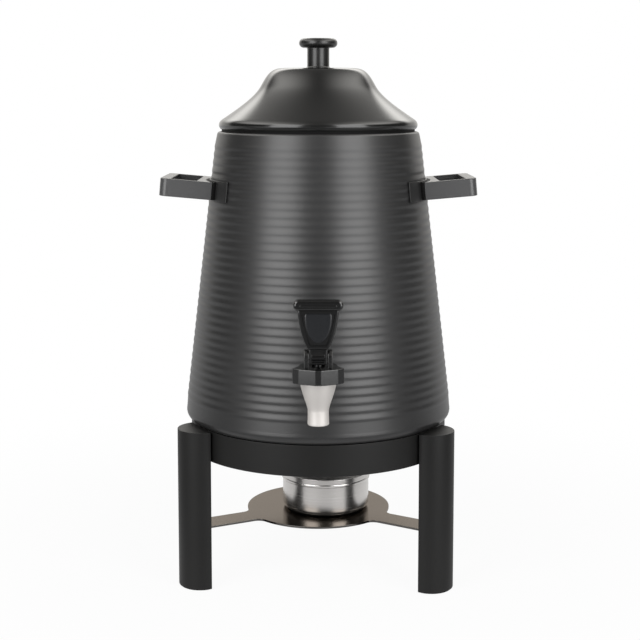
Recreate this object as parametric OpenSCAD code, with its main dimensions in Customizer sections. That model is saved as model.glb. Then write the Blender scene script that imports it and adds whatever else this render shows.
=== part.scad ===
// Hot-drink urn on a three-legged stand, with a lever tap, a lift-off lid and a fuel burner.
// Millimetres, +Z up, tap towards -Y. The origin is on the floor under the middle of the object's box.

/* [Stand] */
// Height of the legs and of the support ring's top above the floor
stand_h = 152; // [130:1:180]
// Turn of the stand about the urn's axis, seen from above
stand_turn = -2.4; // [-10:0.1:10]
// How far the support ring's band is set in from the vessel's widest place
ring_set_in = 4.5; // [2.5:0.1:7]
// Height of the ring's band
ring_h = 29; // [22:1:40]
// Thickness of the ring's band and of its inward flange
ring_t = 3; // [2:0.5:4]
// Width of the flange that carries the urn, from the band's outer face
ring_flange_w = 16; // [10:1:18]
// Radius of a half-round leg
leg_r = 22.7; // [18:0.1:26]
// Width of a leg over its trimmed edges
leg_w = 45; // [34:0.5:45.2]
// Thickness of the pad under each leg
foot_pad_t = 1.2; // [0.8:0.1:3]
// How far the pad is set in from the leg's edge
foot_pad_inset = 1.5; // [0.5:0.5:4]
// Radius of the screws that hold the legs
leg_screw_r = 2.5; // [2:0.25:3]
// Radius of those screws' heads
leg_screw_head_r = 4.5; // [4:0.25:5]
// Height of those screws' heads
leg_screw_head_h = 2.5; // [2:0.25:3.5]
// Length of the screw's thread in the leg
leg_screw_bite = 12; // [8:1:16]
// Distance between a leg's two screws
leg_screw_gap = 12; // [10:1:14]

/* [Burner shelf] */
// Height of the shelf's top face
shelf_z = 59; // [45:1:75]
// Thickness of the shelf plate
shelf_t = 2; // [1.5:0.5:3]
// Radius of the shelf's disc
shelf_r = 70.1; // [60:0.1:80]
// Width of each arm
shelf_arm_w = 26; // [18:1:32]
// Radius of the fillet where an arm leaves the disc
shelf_fillet_r = 9; // [4:1:14]
// Depth of the slot in the leg that holds the arm's end
shelf_slot_depth = 8; // [5:1:12]

/* [Burner] */
// Outer radius of the fuel cup
cup_r = 42.4; // [36:0.2:48]
// Height of the fuel cup
cup_h = 36; // [28:1:40]
// Wall of the cup and of its cover
cup_t = 1; // [0.8:0.1:1.5]
// Radius of the cup's lower edge
cup_corner_r = 7; // [4:1:10]
// Where the loose cup stands to the right of the axis
cup_offset_x = 7.4; // [-15:0.2:15]
// Depth of the cover's skirt
cover_skirt_h = 7; // [5:0.5:10]
// Radius of the flame opening in the cover
flame_r = 26; // [18:1:32]

/* [Vessel] */
// Height of the vessel from its flat bottom to its rim
vessel_h = 278; // [240:1:300]
// Outer radius at the rim
rim_r = 97.7; // [92:0.1:104]
// Outer radius at the widest place, just above the bottom edge
wide_r = 129.1; // [126:0.1:134]
// Radius of the rounded bottom edge
bottom_edge_r = 8; // [6:0.5:12]
// Thickness of the sheet
wall_t = 1.5; // [1:0.1:2]
// Width of the turned-in rim round the open mouth
rim_lip_w = 9.2; // [8:0.1:14]
// Radius of the rounded shoulder under the rim
rim_edge_r = 3; // [2:0.5:5]
// Number of rolled ribs
rib_count = 33; // [10:1:40]
// Distance from the rim down to the first rib
rib_top_drop = 10; // [8:0.5:30]
// Height of the plain band under the last rib
rib_bottom_band = 9; // [6:0.5:30]
// How far a rib stands out
rib_depth = 0.8; // [0.4:0.1:1.4]
// Clearance between the heat-spreading disc and the ring's flange
heat_disc_gap = 4.6; // [2:0.2:12]
// Thickness of that disc
heat_disc_t = 5; // [3:0.5:8]

/* [Handles] */
// How far the middle of a handle's root is below the rim
handle_drop = 55; // [50:0.2:120]
// Upward tilt of the handles
handle_tilt = 5; // [0:0.5:8]
// How far a handle stands out from the wall
handle_reach = 45.8; // [40:0.2:60]
// Depth of a handle from front to back
handle_w = 86; // [70:1:94]
// Height of a handle's bars
handle_bar_h = 16.8; // [12:0.2:20]
// Thickness of the front and back bars
handle_arm_t = 4.5; // [4:0.5:8]
// Thickness of the outer grip bar
handle_grip_t = 9.5; // [6:0.5:12]
// Length of the solid block at the wall
handle_root_l = 11.5; // [11:0.5:16]
// Radius of the handle's outer corners
handle_corner_r = 7; // [3:0.5:10]
// Thickness of the insulating strip between handle and pad
spacer_t = 2.4; // [1.5:0.1:4]
// Thickness of the smooth pad on the wall
wall_pad_t = 1.6; // [1:0.1:2.5]
// Height of the smooth pad
wall_pad_h = 19; // [18:0.5:26]
// Half the angle that the smooth pad covers round the wall
wall_pad_half_angle = 37; // [30:1:42]
// Angle between the handle's middle and each of its screws
handle_screw_angle = 14; // [11:0.5:16]
// Radius of the handle screws
handle_screw_r = 2; // [1.5:0.25:2.5]
// Length of their thread in the handle
handle_screw_bite = 7.5; // [5:0.5:8]

/* [Tap] */
// Distance of the spout's axis from the wall's ribs
tap_stand_off = 43; // [38:0.5:56]
// Height of the shank's axis above the vessel's bottom
shank_rise = 58.5; // [54:0.5:62]
// Radius of the shank
shank_r = 8; // [7:0.25:9]
// Radius of the water way through the shank
shank_bore_r = 4; // [3:0.25:4]
// How far the spout's lower end is below the shank's axis
spout_drop = 28.5; // [24:0.5:36]
// Radius of the spout at its throat
throat_r = 9; // [8:0.25:10]
// Radius of the spout's water way
spout_bore_r = 6.5; // [5:0.25:6.75]
// Radius of the barrel at its top
barrel_r = 15.4; // [14:0.1:17]
// Radius of the valve chamber
chamber_r = 10.5; // [9.5:0.25:11]
// Height of the bonnet's lower face above the shank's axis
bonnet_rise = 10.3; // [9.5:0.1:14]
// Height of the bonnet's collar
bonnet_h = 13.1; // [11:0.1:16]
// Half the width of the bonnet
bonnet_half_w = 22.2; // [20:0.2:24]
// How far the bonnet reaches in front of the spout's axis
bonnet_front = 24; // [22.5:0.1:25]
// How far the lever's pin stands in front of the spout's axis
pin_offset = 9; // [8.5:0.25:11]
// Height of the pin above the bonnet's collar
pin_rise = 9; // [8:0.1:11]
// Radius of the lever's pin
pin_r = 2; // [1.5:0.25:2.25]
// Gap between the bonnet's two ears
ear_gap = 16; // [14:0.5:18]
// Thickness of each ear
ear_t = 4.2; // [3:0.2:5]
// Radius of an ear's round top
ear_r = 6.5; // [5.5:0.25:7]

/* [Lever] */
// Height of the lever above its pin
lever_h = 50; // [42:0.5:60]
// Width of the finger bar at the top
lever_bar_w = 42.5; // [36:0.5:48]
// Height of the finger bar
lever_bar_h = 9.3; // [7:0.1:11]
// Depth of the finger bar
lever_bar_d = 11; // [9:0.5:13]
// Thickness of the paddle under the bar
lever_t = 8; // [6:0.5:9]
// Width of the paddle just under the bar
lever_top_w = 36; // [30:0.5:38]
// Width of the paddle at its lower end
lever_low_w = 18.2; // [16:0.2:22]
// Half the width of the inset panel
inset_half_w = 11.6; // [8:0.2:13]
// Depth of the inset panel
inset_d = 1.6; // [1:0.2:2.4]

/* [Lid] */
// Height of the lid from its lower edge to its flat top
lid_h = 58; // [50:0.5:66]
// How far the lid's rolled rim is set in from the vessel's rim
lid_set_in = 1.4; // [0.5:0.1:2]
// Radius of the flat top
lid_flat_r = 36; // [30:0.5:40]
// Thickness of the lid's sheet
lid_t = 1.2; // [1:0.1:1.6]
// Height of the seal between lid and rim
seal_h = 2.4; // [1.6:0.1:3.2]
// How far the locating skirt hangs below the seal
skirt_drop = 10; // [6:0.5:16]
// Clearance between the skirt and the mouth
skirt_clearance = 0.8; // [0.4:0.1:1.5]
// Radius of the knob's stem
knob_stem_r = 10.6; // [8:0.2:13]
// Height of the knob's stem
knob_stem_h = 19; // [14:0.5:26]
// Radius of the knob's cap
knob_cap_r = 18.4; // [15:0.2:22]
// Height of the knob's cap
knob_cap_h = 9.5; // [7:0.5:12]
// Radius of the cap's rounded edge
knob_edge_r = 3.4; // [2:0.2:3.4]

/* [Hidden] */
$fn = 96;

// Clearances: bonded faces, running pins, screw holes and slots
seat_gap = 0.05;
run_gap = 0.05;
hole_gap = 0.25;
slot_gap = 0.15;
pin_play = 0.02;
pin_sink = 0.2;
// A cut that goes past a face by this much leaves no skin
past = 1;

// Heights that stack up from the floor
vessel_z = stand_h;
rim_z = vessel_z + vessel_h;
wide_z = vessel_z + bottom_edge_r;
lid_z = rim_z + seal_h;
lid_top_z = lid_z + lid_h;
cup_z = shelf_z + seat_gap;
seam_rise = 3;
seam_z = wide_z + seam_rise;
handle_z = rim_z - handle_drop;
shank_z = vessel_z + shank_rise;
spout_end_z = shank_z - spout_drop;
bonnet_z = shank_z + bonnet_rise;

// Slope of the tapered wall, and the wall's radius at a height
wall_slope = (wide_r - rim_r) / (rim_z - wide_z);
wall_tilt = atan(wall_slope);
function wall_r(z) = rim_r + (rim_z - z) * wall_slope;
function crest_r(z) = wall_r(z) + rib_depth;

tap_reach = crest_r(shank_z) + tap_stand_off;
mouth_r = rim_r - rim_lip_w;
lid_rim_r = rim_r - lid_set_in;
ring_r = wide_r - ring_set_in;
heat_disc_r = ring_r - ring_flange_w - heat_disc_gap;

// Reach of the object in front of and behind the urn's axis, and the axis' place in the frame
front_reach = tap_reach + bonnet_front;
back_reach = ring_r * cos(stand_turn) + leg_r;
axis_y = (front_reach - back_reach) / 2;

// Tap levels
bonnet_top_z = bonnet_z + bonnet_h;
pin_z = bonnet_top_z + pin_rise;
pin_y = -tap_reach - pin_offset;
// Barrel: the neck that enters the bonnet, the valve's seat and the straight throat
neck_step = 2.3;
neck_r = barrel_r - neck_step;
neck_h = 7.5;
seat_drop = 0.5;
seat_z = shank_z - shank_bore_r - seat_drop;
throat_l = 15.2;
throat_z = spout_end_z + throat_l;
lip_r = 1;
// Lever's foot: boss on the pin, and the two pads under the stem's cross head
boss_r = 5;
pad_r = 2;
foot_play = 0.3;
foot_w = ear_gap - 2 * foot_play;
stem_r = 3;
stem_play = 0.4;
stem_slot = stem_r + stem_play;
// Stem's cross head, seat cup and return spring
head_play = 0.3;
head_z = pin_z + pad_r + head_play;
head_margin = 0.7;
head_w = foot_w - 2 * head_margin;
head_d = 6;
head_h = 2.5;
stem_sink = 2;
chamber_play = 1.5;
cup_seal_r = chamber_r - chamber_play;
cup_seal_h = 10;
spring_seat = 0.7;
spring_play = 0.3;
spring_low_z = seat_z + cup_seal_h + spring_seat;
spring_top_z = bonnet_z + neck_h - spring_play;
spring_turns = 4;
spring_r = 6.6;
spring_wire_r = 0.5;

// Leg angles from straight back, seen from above
leg_angles = [120, -120, 0];

// Everything is drawn about the urn's axis and then set in the frame
module on_axis() translate([0, axis_y, 0]) children();
module on_stand() on_axis() rotate([0, 0, stand_turn]) children();
module at_leg(i) on_stand() rotate([0, 0, leg_angles[i]]) translate([0, ring_r, 0]) children();
module at_tap() on_axis() translate([0, -tap_reach, 0]) children();

// Points on an arc, and on a cubic curve
function arc(c, r, a0, a1, n = 6) =
    [for (i = [0 : n]) let (a = a0 + (a1 - a0) * i / n) [c[0] + r * cos(a), c[1] + r * sin(a)]];
function bezier(p, n = 10) =
    [for (i = [0 : n]) let (t = i / n, s = 1 - t)
        s * s * s * p[0] + 3 * s * s * t * p[1] + 3 * s * t * t * p[2] + t * t * t * p[3]];
function reversed(v) = [for (i = [len(v) - 1 : -1 : 0]) v[i]];
// A path moved sideways by d, to its right as it runs
function side(v) = let (l = norm(v)) [v[1] / l, -v[0] / l];
function moved(p, d) =
    [for (i = [0 : len(p) - 1])
        p[i] + d * side(p[min(i + 1, len(p) - 1)] - p[max(i - 1, 0)])];

// Stand

module leg_outline(r, w) intersection() {
    circle(r = r);
    translate([-w / 2, 0]) square([w, r + past]);
}

module leg_body(i) color("#1d1e1f") difference() {
    at_leg(i) translate([0, 0, foot_pad_t])
        linear_extrude(stand_h - foot_pad_t) leg_outline(leg_r, leg_w);
    at_leg(i) translate([-shelf_arm_w / 2 - slot_gap, -past, shelf_z - shelf_t - slot_gap])
        cube([shelf_arm_w + 2 * slot_gap, shelf_slot_depth + past + slot_gap, shelf_t + 2 * slot_gap]);
    at_leg(i) leg_screw_places() translate([0, -past, 0]) rotate([-90, 0, 0])
        cylinder(r = leg_screw_r + seat_gap, h = leg_screw_bite + past + seat_gap);
}

module leg_left() leg_body(0);
module leg_right() leg_body(1);
module leg_back() leg_body(2);

module foot_pads() color("#101010") for (i = [0 : 2])
    at_leg(i) translate([0, foot_pad_inset, 0]) linear_extrude(foot_pad_t)
        leg_outline(leg_r - 2 * foot_pad_inset, leg_w - 2 * foot_pad_inset);

module leg_screw_places() for (s = [-1, 1])
    translate([0, 0, stand_h - (ring_h + ring_t) / 2 + s * leg_screw_gap / 2]) children();

module leg_screws() color("#8d8f91") for (i = [0 : 2]) at_leg(i) leg_screw_places() {
    translate([0, -ring_t - slot_gap, 0]) rotate([-90, 0, 0])
        cylinder(r = leg_screw_r, h = ring_t + slot_gap + leg_screw_bite);
    translate([0, -ring_t - slot_gap, 0]) rotate([90, 0, 0])
        cylinder(r = leg_screw_head_r, h = leg_screw_head_h);
}

module support_ring() color("#222324") difference() {
    on_axis() rotate_extrude() translate([ring_r - ring_t, stand_h - ring_h])
        square([ring_t, ring_h - ring_t]);
    for (i = [0 : 2]) at_leg(i) leg_screw_places() translate([0, -ring_t - past, 0]) rotate([-90, 0, 0])
        cylinder(r = leg_screw_r + hole_gap, h = ring_t + 2 * past);
}

// Flat flange welded on the band's upper edge: the urn's bottom rests on it
module ring_flange() color("#222324") on_axis() rotate_extrude()
    translate([ring_r - ring_flange_w, stand_h - ring_t]) square([ring_flange_w, ring_t]);

// Arm outline with a round fillet on both sides where it leaves the disc
module shelf_arm() {
    fillet_x = shelf_arm_w / 2 + shelf_fillet_r;
    fillet_y = sqrt(pow(shelf_r + shelf_fillet_r, 2) - fillet_x * fillet_x);
    translate([-shelf_arm_w / 2, 0]) square([shelf_arm_w, ring_r + shelf_slot_depth]);
    difference() {
        translate([-fillet_x, 0]) square([2 * fillet_x, fillet_y]);
        for (s = [-1, 1]) translate([s * fillet_x, fillet_y]) circle(r = shelf_fillet_r);
    }
}

module burner_shelf() color("#6d6660") on_stand() translate([0, 0, shelf_z - shelf_t])
    linear_extrude(shelf_t) {
        circle(r = shelf_r);
        for (a = leg_angles) rotate(a) shelf_arm();
    }

// Burner

module at_cup() on_axis() translate([cup_offset_x, 0, cup_z]) children();

module fuel_cup() color("#b9bab8") at_cup() rotate_extrude() {
    inner_r = cup_corner_r - cup_t;
    corner = [cup_r - cup_corner_r, cup_corner_r];
    polygon(concat(
        [[0, 0]], arc(corner, cup_corner_r, -90, 0), [[cup_r, cup_h], [cup_r - cup_t, cup_h]],
        arc(corner, inner_r, 0, -90), [[0, cup_t]]
    ));
}

cover_play = 0.3;
cover_in_r = cup_r + cover_play;
cover_out_r = cover_in_r + cup_t;
cover_bead = 0.8;

module at_cover() at_cup() translate([0, 0, cup_h]) children();

module burner_cover() color("#c3c4c2") at_cover() rotate_extrude()
    translate([flame_r, 0]) square([cover_out_r - flame_r, cup_t]);

// Beaded band welded under the cover's edge: it slips over the cup
module cover_band() color("#c3c4c2") at_cover() rotate_extrude() polygon([
    [cover_in_r, -cover_skirt_h], [cover_out_r, -cover_skirt_h],
    [cover_out_r + cover_bead, -cover_skirt_h + cover_bead],
    [cover_out_r + cover_bead, -cover_skirt_h + 3 * cover_bead],
    [cover_out_r, -cover_skirt_h + 4 * cover_bead], [cover_out_r, 0], [cover_in_r, 0]
]);

// Vessel

rib_top_z = rim_z - rib_top_drop;
rib_low_z = seam_z + rib_bottom_band;
rib_pitch = (rib_top_z - rib_low_z) / rib_count;
rib_steps = 4;

// The ribs' outline, from the lowest valley up: each rib is a shallow half wave
rib_path = [for (i = [0 : rib_count * rib_steps])
    let (z = rib_low_z + i * rib_pitch / rib_steps)
    [wall_r(z) + rib_depth * sin(180 * (i % rib_steps) / rib_steps), z]];

module vessel_wall() color("#3a3b3d") difference() {
    on_axis() rotate_extrude() polygon(concat(
        [[wall_r(seam_z), seam_z]], rib_path,
        arc([rim_r - rim_edge_r, rim_z - rim_edge_r], rim_edge_r, 0, 90),
        [[mouth_r, rim_z], [mouth_r, rim_z - wall_t]],
        reversed(arc([rim_r - rim_edge_r, rim_z - rim_edge_r], rim_edge_r - wall_t, 0, 90)),
        [for (z = [rim_z - 2 * rim_edge_r, seam_z]) [wall_r(z) - wall_t, z]]
    ));
    shank_path(shank_r + hole_gap, crest_r(shank_z) - 4 * wall_t, crest_r(shank_z) + 4 * wall_t);
    for (s = [-1, 1]) handle_screw_places(s) translate([0, 0, -4 * wall_t])
        cylinder(r = handle_screw_r + hole_gap, h = 8 * wall_t);
}

module vessel_base() color("#38393b") on_axis() rotate_extrude() {
    corner = [wide_r - bottom_edge_r, wide_z];
    polygon(concat(
        [[0, vessel_z]], arc(corner, bottom_edge_r, -90, 0), [[wall_r(seam_z), seam_z]],
        [[wall_r(seam_z) - wall_t, seam_z]], arc(corner, bottom_edge_r - wall_t, 0, -90),
        [[0, vessel_z + wall_t]]
    ));
}

module heat_disc() color("#a9aaab") on_axis() translate([0, 0, vessel_z - heat_disc_t])
    cylinder(r = heat_disc_r, h = heat_disc_t);

// Handles: s is -1 on the left and 1 on the right

// The wall's cone, grown by d, between two heights; finely divided because thin pieces are cut by it
module wall_cone(d, z0, z1) on_axis() translate([0, 0, z0])
    cylinder(r1 = crest_r(z0) + d, r2 = crest_r(z1) + d, h = z1 - z0, $fn = 360);

// A curved strip on the wall, from d0 to d1 outside the ribs
module wall_strip(s, d0, d1, h, half_angle) on_axis()
    rotate([0, 0, (s < 0 ? 180 : 0) - half_angle]) rotate_extrude(angle = 2 * half_angle) polygon([
        for (q = [[d0, -1], [d1, -1], [d1, 1], [d0, 1]])
            [crest_r(handle_z + q[1] * h / 2) + q[0], handle_z + q[1] * h / 2]
    ]);

// Handle screws run square to the wall; z is along the screw, from the wall's face outwards
module handle_screw_places(s) on_axis() for (a = [-handle_screw_angle, handle_screw_angle])
    rotate([0, 0, (s < 0 ? 180 : 0) + a]) translate([wall_r(handle_z), 0, handle_z])
        rotate([0, 90 - wall_tilt, 0]) children();

module at_handle(s) on_axis() mirror([s < 0 ? 1 : 0, 0, 0])
    translate([wall_r(handle_z), 0, handle_z]) rotate([0, -handle_tilt, 0]) children();

root_gap = wall_pad_t + spacer_t + 3 * seat_gap;
spacer_half_angle = asin((handle_w / 2 + 1) / crest_r(handle_z));

module handle_outline() {
    corner_x = handle_reach - handle_corner_r;
    corner_y = handle_w / 2 - handle_corner_r;
    translate([-handle_w / 2, -handle_w / 2]) square([handle_w / 2 + corner_x, handle_w]);
    translate([0, -corner_y]) square([handle_reach, 2 * corner_y]);
    for (s = [-1, 1]) translate([corner_x, s * corner_y]) circle(r = handle_corner_r);
}

module handle_body(s) color("#4a4b4d") difference() {
    at_handle(s) translate([0, 0, -handle_bar_h / 2]) linear_extrude(handle_bar_h) difference() {
        handle_outline();
        translate([handle_root_l, handle_arm_t - handle_w / 2])
            square([handle_reach - handle_grip_t - handle_root_l, handle_w - 2 * handle_arm_t]);
    }
    wall_cone(root_gap, handle_z - 2 * handle_bar_h, handle_z + 2 * handle_bar_h);
    handle_screw_places(s) cylinder(r = handle_screw_r + seat_gap, h = handle_screw_tip + seat_gap);
}

module handle_left() handle_body(-1);
module handle_right() handle_body(1);

module strip_bored(s, d0, d1, h, half_angle) difference() {
    wall_strip(s, d0, d1, h, half_angle);
    handle_screw_places(s) cylinder(r = handle_screw_r + hole_gap, h = root_gap + 8 * wall_t);
}

module wall_pads() color("#3c3d3f") for (s = [-1, 1])
    strip_bored(s, seat_gap, wall_pad_t + seat_gap, wall_pad_h, wall_pad_half_angle);

module handle_spacers() color("#121212") for (s = [-1, 1])
    strip_bored(s, wall_pad_t + 2 * seat_gap, root_gap - seat_gap, handle_bar_h, spacer_half_angle);

handle_screw_head_h = 2.5;
handle_screw_head_r = 2.2 * handle_screw_r;
head_play_in = 0.2;
head_stand_off = wall_t + head_play_in;
handle_screw_tip = rib_depth + root_gap + handle_screw_bite;

module handle_screws() color("#b4b5b6") for (s = [-1, 1]) handle_screw_places(s) {
    translate([0, 0, -head_stand_off]) cylinder(r = handle_screw_r, h = head_stand_off + handle_screw_tip);
    translate([0, 0, -head_stand_off - handle_screw_head_h])
        cylinder(r = handle_screw_head_r, h = handle_screw_head_h);
}

// Tap

// A round bar along the shank, between two distances from the urn's axis
module shank_path(r, d0, d1) on_axis() translate([0, -d0, shank_z]) rotate([90, 0, 0])
    cylinder(r = r, h = d1 - d0);

flange_r = 15;
flange_t = 3;
gasket_t = 3.6;
flange_d = crest_r(shank_z) + gasket_t;
inner_gasket_t = 4.5;
inner_d = wall_r(shank_z) - wall_t - inner_gasket_t;
nut_t = 8;
nut_r = 14;
shank_tail = 4;

module tap_body() color("#c2c3c1") difference() {
    union() {
        at_tap() rotate_extrude() polygon(concat(
            [[0, spout_end_z]],
            arc([throat_r - lip_r, spout_end_z + lip_r], lip_r, -90, 0),
            [[throat_r, throat_z]],
            bezier([[throat_r, throat_z], [throat_r + 0.4, throat_z + 5],
                    [barrel_r - 2.2, throat_z + 9], [barrel_r, bonnet_z - seat_gap]], 8),
            [[neck_r, bonnet_z - seat_gap], [neck_r, bonnet_z + neck_h], [0, bonnet_z + neck_h]]
        ));
        shank_path(shank_r, inner_d - nut_t - shank_tail, tap_reach);
        shank_path(flange_r, flange_d, flange_d + flange_t);
    }
    at_tap() translate([0, 0, seat_z]) cylinder(r = chamber_r, h = bonnet_z + neck_h - seat_z + past);
    at_tap() translate([0, 0, spout_end_z - past])
        cylinder(r = spout_bore_r, h = seat_z - spout_end_z + 2 * past);
    shank_path(shank_bore_r, inner_d - nut_t - shank_tail - past, tap_reach);
}

module tap_gasket() color("#151515") difference() {
    shank_path(flange_r, crest_r(shank_z) - flange_r, flange_d);
    shank_path(shank_r + hole_gap, crest_r(shank_z) - flange_r - past, flange_d + past);
    wall_cone(seat_gap, shank_z - 2 * flange_r, shank_z + 2 * flange_r);
}

module inner_gasket() color("#d8d4c8") difference() {
    intersection() {
        shank_path(flange_r, inner_d, inner_d + 2 * inner_gasket_t);
        wall_cone(-rib_depth - wall_t - seat_gap, shank_z - 2 * flange_r, shank_z + 2 * flange_r);
    }
    shank_path(shank_r + hole_gap, inner_d - past, inner_d + 3 * inner_gasket_t);
}

module tap_nut() color("#c9cac8") difference() {
    on_axis() translate([0, -inner_d + nut_t, shank_z]) rotate([90, 0, 0])
        cylinder(r = nut_r, h = nut_t, $fn = 6);
    shank_path(shank_r + seat_gap, inner_d - nut_t - past, inner_d + past);
}

module at_pin() on_axis() translate([0, pin_y, pin_z]) children();
module pin_bar(r, w) rotate([0, 90, 0]) translate([0, 0, -w / 2]) cylinder(r = r, h = w);

// The bonnet seen from above: two slanting front faces, trimmed corners and a round back
nose_half_w = 2.5;
trim_w = 5.4;
face_slant = 22.5;
wing_l = 10.4;
bonnet_back_r = barrel_r + 1.2;

module bonnet_outline() {
    face_end = bonnet_half_w - trim_w;
    face_y = -bonnet_front + (face_end - nose_half_w) * tan(face_slant);
    trim_y = face_y + trim_w;
    right = [[nose_half_w, -bonnet_front], [face_end, face_y], [bonnet_half_w, trim_y],
             [bonnet_back_r, trim_y + wing_l]];
    polygon(concat(right, [for (p = reversed(right)) [-p[0], p[1]]]));
    circle(r = bonnet_back_r);
}

module tap_bonnet() color("#17181a") difference() {
    union() {
        at_tap() translate([0, 0, bonnet_z]) linear_extrude(bonnet_h) bonnet_outline();
        for (s = [-1, 1]) at_pin() translate([s * (ear_gap + ear_t) / 2, 0, 0]) {
            pin_bar(ear_r, ear_t);
            translate([-ear_t / 2, -ear_r, -pin_rise - past]) cube([ear_t, 2 * ear_r, pin_rise + past]);
        }
    }
    at_tap() translate([0, 0, bonnet_z - past]) cylinder(r = neck_r + seat_gap, h = neck_h + seat_gap + past);
    at_tap() cylinder(r = stem_r + run_gap, h = pin_z);
    at_pin() pin_bar(pin_r + pin_play, 2 * ear_gap);
}

module lever_pin() color("#c4c5c4") at_pin() pin_bar(pin_r, ear_gap + 2 * ear_t - 2 * pin_sink);

// Lever and valve

lever_bar_z = lever_h - lever_bar_h;
lever_foot_z = 7.6;
lever_set = 0.5;
lever_y = -lever_t / 2 - lever_set;
inset_sink = 0.2;
foot_set = 1;

// Front outline of the paddle, drawn in x and height above the pin
module paddle_outline() {
    low = [lever_low_w / 2, lever_foot_z];
    top = [lever_top_w / 2, lever_bar_z + past];
    mid_z = (lever_foot_z + lever_bar_z) / 2;
    right = bezier([low, [low[0] + 4, mid_z - 8], [top[0] - 2, mid_z], top], 8);
    polygon(concat(right, [for (p = reversed(right)) [-p[0], p[1]]]));
}

// Inset panel: a parabola that opens upwards
module inset_outline(d) {
    low_z = lever_foot_z + 6;
    high_z = lever_bar_z - 2;
    steps = 10;
    polygon([for (i = [-steps : steps])
        let (t = i / steps) [t * (inset_half_w - d), low_z + d + (high_z - low_z - 2 * d) * t * t]]);
}

module upright(depth) rotate([90, 0, 0]) linear_extrude(depth, center = true) children();

module tap_lever() color("#141516") at_pin() difference() {
    union() {
        pin_bar(boss_r, foot_w);
        translate([-foot_w / 2, lever_y - lever_t / 2 + foot_set, 0])
            cube([foot_w, lever_t - foot_set, lever_foot_z + past]);
        translate([0, lever_y, 0]) upright(lever_t) paddle_outline();
        translate([0, lever_y, 0]) lever_bar();
        translate([-foot_w / 2, 0, -pad_r]) cube([foot_w, pin_offset, 2 * pad_r - 1]);
        translate([0, pin_offset, 0]) pin_bar(pad_r, foot_w);
    }
    pin_bar(pin_r + run_gap, 2 * foot_w);
    translate([-stem_slot, boss_r, -boss_r]) cube([2 * stem_slot, pin_offset + boss_r, 2 * boss_r]);
    translate([0, lever_y - lever_t / 2, 0]) upright(2 * inset_d) inset_outline(0);
}

// Finger bar with round ends
module lever_bar() {
    half = (lever_bar_w - lever_bar_h) / 2;
    translate([0, 0, lever_bar_z + lever_bar_h / 2]) {
        cube([2 * half, lever_bar_d, lever_bar_h], center = true);
        for (s = [-1, 1]) translate([s * half, 0, 0]) rotate([90, 0, 0])
            cylinder(d = lever_bar_h, h = lever_bar_d, center = true);
    }
}

module lever_inset() color("#2a2b2d") at_pin()
    translate([0, lever_y - lever_t / 2 + inset_d / 2 + inset_sink, 0])
        upright(inset_d - 2 * inset_sink - 2 * seat_gap) inset_outline(2 * seat_gap);

module valve_stem() color("#cfd0ce") at_tap() {
    translate([0, 0, seat_z + stem_sink]) cylinder(r = stem_r, h = head_z - seat_z - stem_sink);
    translate([-head_w / 2, -head_d / 2, head_z]) cube([head_w, head_d, head_h]);
}

module seat_cup() color("#e4e0d6") at_tap() translate([0, 0, seat_z]) difference() {
    cylinder(r = cup_seal_r, h = cup_seal_h);
    translate([0, 0, stem_sink]) cylinder(r = stem_r + run_gap, h = cup_seal_h);
}

// Return spring: one round wire wound as a helix, closed by a cap at each end
function spring_point(t) = let (a = 360 * spring_turns * t)
    [spring_r * cos(a), spring_r * sin(a),
     spring_low_z + spring_wire_r + t * (spring_top_z - spring_low_z - 2 * spring_wire_r)];

module valve_spring() color("#b8b9ba") at_tap() {
    per_turn = 8;
    rings = per_turn * spring_turns;
    sides = 6;
    echo(spring_gap = min([for (i = [0 : rings - per_turn])
        norm(spring_point((i + per_turn) / rings) - spring_point(i / rings))]) - 2 * spring_wire_r);
    rows = [for (i = [0 : rings]) let (c = spring_point(i / rings), a = 360 * spring_turns * i / rings)
        [for (j = [0 : sides - 1]) let (b = 360 * j / sides)
            c + spring_wire_r * [cos(b) * cos(a), cos(b) * sin(a), sin(b)]]];
    points = [for (row = rows) each row];
    walls = [for (i = [0 : rings - 1]) for (j = [0 : sides - 1])
        let (p = i * sides + j, q = i * sides + (j + 1) % sides)
        each [[p, p + sides, q], [q, p + sides, q + sides]]];
    caps = [for (j = [1 : sides - 2]) each [[0, j, j + 1],
        [rings * sides, rings * sides + j + 1, rings * sides + j]]];
    polyhedron(points, concat(walls, caps));
}

// Lid

lid_edge_set = 2;
lid_edge_r = lid_rim_r - lid_edge_set;
seal_set = 1;
hem_r = mouth_r - skirt_clearance;

// The bell: a round shoulder, then a flare that runs out to the rolled rim
lid_shoulder_w = 20;
lid_shoulder_h = 18;
roll_w = 3.3;
roll_h = 9;
lid_side = [lid_flat_r + lid_shoulder_w, lid_top_z - lid_shoulder_h];
lid_flare = [lid_rim_r - roll_w, lid_z + roll_h];
function on_way(a, b, u, v) = [a[0] + u * (b[0] - a[0]), a[1] + v * (b[1] - a[1])];
lid_bell = concat(
    bezier([[lid_flat_r, lid_top_z], on_way([lid_flat_r, lid_top_z], lid_side, 0.55, 0),
            on_way([lid_flat_r, lid_top_z], lid_side, 0.75, 0.52), lid_side]),
    [for (p = bezier([lid_side, on_way(lid_side, lid_flare, 0.135, 0.277),
                      on_way(lid_side, lid_flare, 0.486, 0.594), lid_flare]))
        if (p != lid_side) p]
);
lid_roll = bezier([lid_flare, lid_flare + [0.82 * roll_w, -0.22 * roll_h],
                   [lid_rim_r + 0.3 * roll_w, lid_z + 0.39 * roll_h], [lid_edge_r, lid_z]], 6);

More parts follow.
